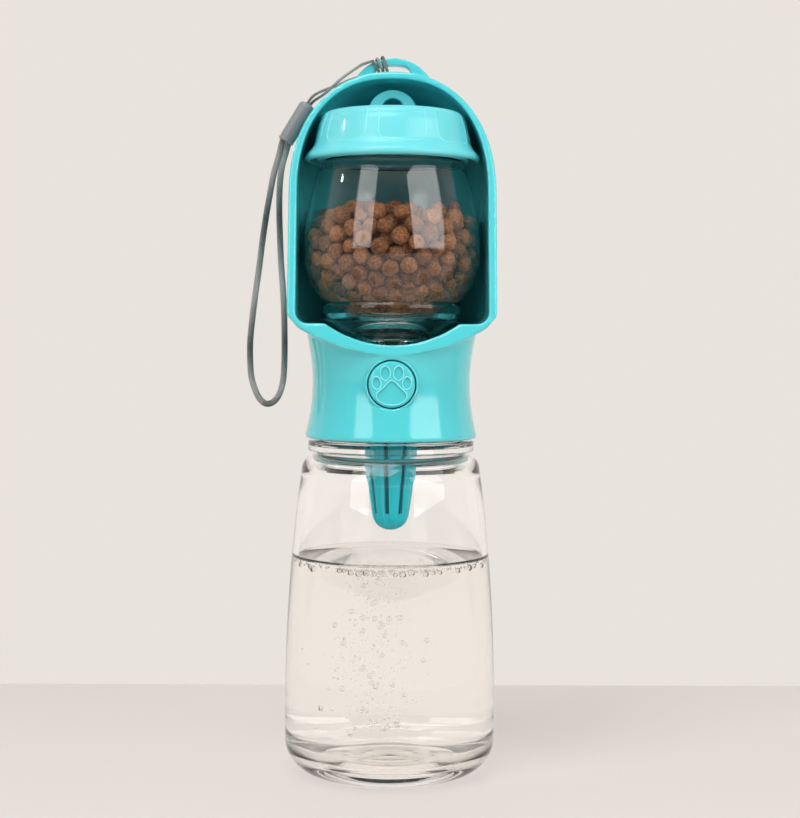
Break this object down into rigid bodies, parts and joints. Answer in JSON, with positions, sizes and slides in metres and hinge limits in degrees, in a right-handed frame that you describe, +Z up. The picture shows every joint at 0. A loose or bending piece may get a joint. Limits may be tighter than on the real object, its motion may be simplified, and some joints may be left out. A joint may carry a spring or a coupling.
{
  "type": "pet travel water bottle",
  "caption": "Clear travel bottle with a push-valve head, a scooped drinking trough, a dry-food cup with a screw lid, a filter basket and a wrist lanyard.",
  "frame": {"origin": "middle of the bottle's base, on the surface it stands on", "axes": "+Z up along the bottle's axis; the trough and the button face -Y; the lanyard hangs on the -X side"},
  "size_m": [0.0894, 0.0754, 0.2562],
  "materials": {
    "clear_shell": "clear moulded plastic, glossy",
    "head_plastic": "turquoise moulded plastic, glossy",
    "inner_plastic": "turquoise moulded plastic, satin",
    "silicone": "translucent white silicone",
    "black_rubber": "black rubber",
    "steel": "stainless steel",
    "thin_cord": "dark waxed cord",
    "wrist_braid": "grey braided cord",
    "sleeve_plastic": "grey satin plastic"
  },
  "bodies": {
    "bottle": {"water_bottle": "clear_shell"},
    "neck_seal": {"neck_gasket": "silicone"},
    "head": {"head_shell": "head_plastic", "trough_hood": "head_plastic", "neck_collar": "inner_plastic", "deck": "inner_plastic", "deck_screws": "steel", "air_valve": "silicone", "valve_chamber": "inner_plastic", "button_spring": "steel", "outlet_grommet": "silicone", "filter_ring": "silicone", "cup_seat_pad": "silicone", "hitch_cord": "thin_cord", "cord_sleeve": "sleeve_plastic", "wrist_cord": "wrist_braid"},
    "button": {"button_cap": "head_plastic", "valve_stem": "steel", "stem_orings": "black_rubber", "valve_seal": "black_rubber", "spring_clip": "steel"},
    "filter": {"filter_basket": "inner_plastic"},
    "cup": {"food_cup": "clear_shell"},
    "lid_seal": {"lid_gasket": "silicone"},
    "lid": {"cup_lid": "head_plastic"}
  },
  "joints": [
    {"name": "head_lift", "type": "slide", "parent": "bottle", "child": "neck_seal", "axis": [0, 0, 1], "range_m": [0, 0.06]},
    {"name": "head_turn", "type": "hinge", "parent": "neck_seal", "child": "head", "pos_m": [0, 0, 0.1284], "axis": [0, 0, 1], "range_deg": [0, 540]},
    {"name": "button_press", "type": "slide", "parent": "head", "child": "button", "axis": [0, 1, 0], "range_m": [0, 0.0035], "stiffness_N_per_m": 900, "springref_m": -0.003, "deforming": ["button_spring"]},
    {"name": "filter_pull", "type": "slide", "parent": "head", "child": "filter", "axis": [0, 0, -1], "range_m": [0, 0.02]},
    {"name": "cup_pull", "type": "slide", "parent": "head", "child": "cup", "axis": [0, -0.9903, 0.1392], "range_m": [0, 0.07]},
    {"name": "lid_turn", "type": "hinge", "parent": "cup", "child": "lid_seal", "pos_m": [0, 0, 0.2311], "axis": [0, 0, 1], "range_deg": [0, 180]},
    {"name": "lid_rise", "type": "slide", "parent": "lid_seal", "child": "lid", "axis": [0, 0, 1], "range_m": [0, 0.00102]}
  ],
  "couplings": [
    {"joint": "lid_rise", "follows": "lid_turn", "m_per_rad": 0.00031831}
  ]
}
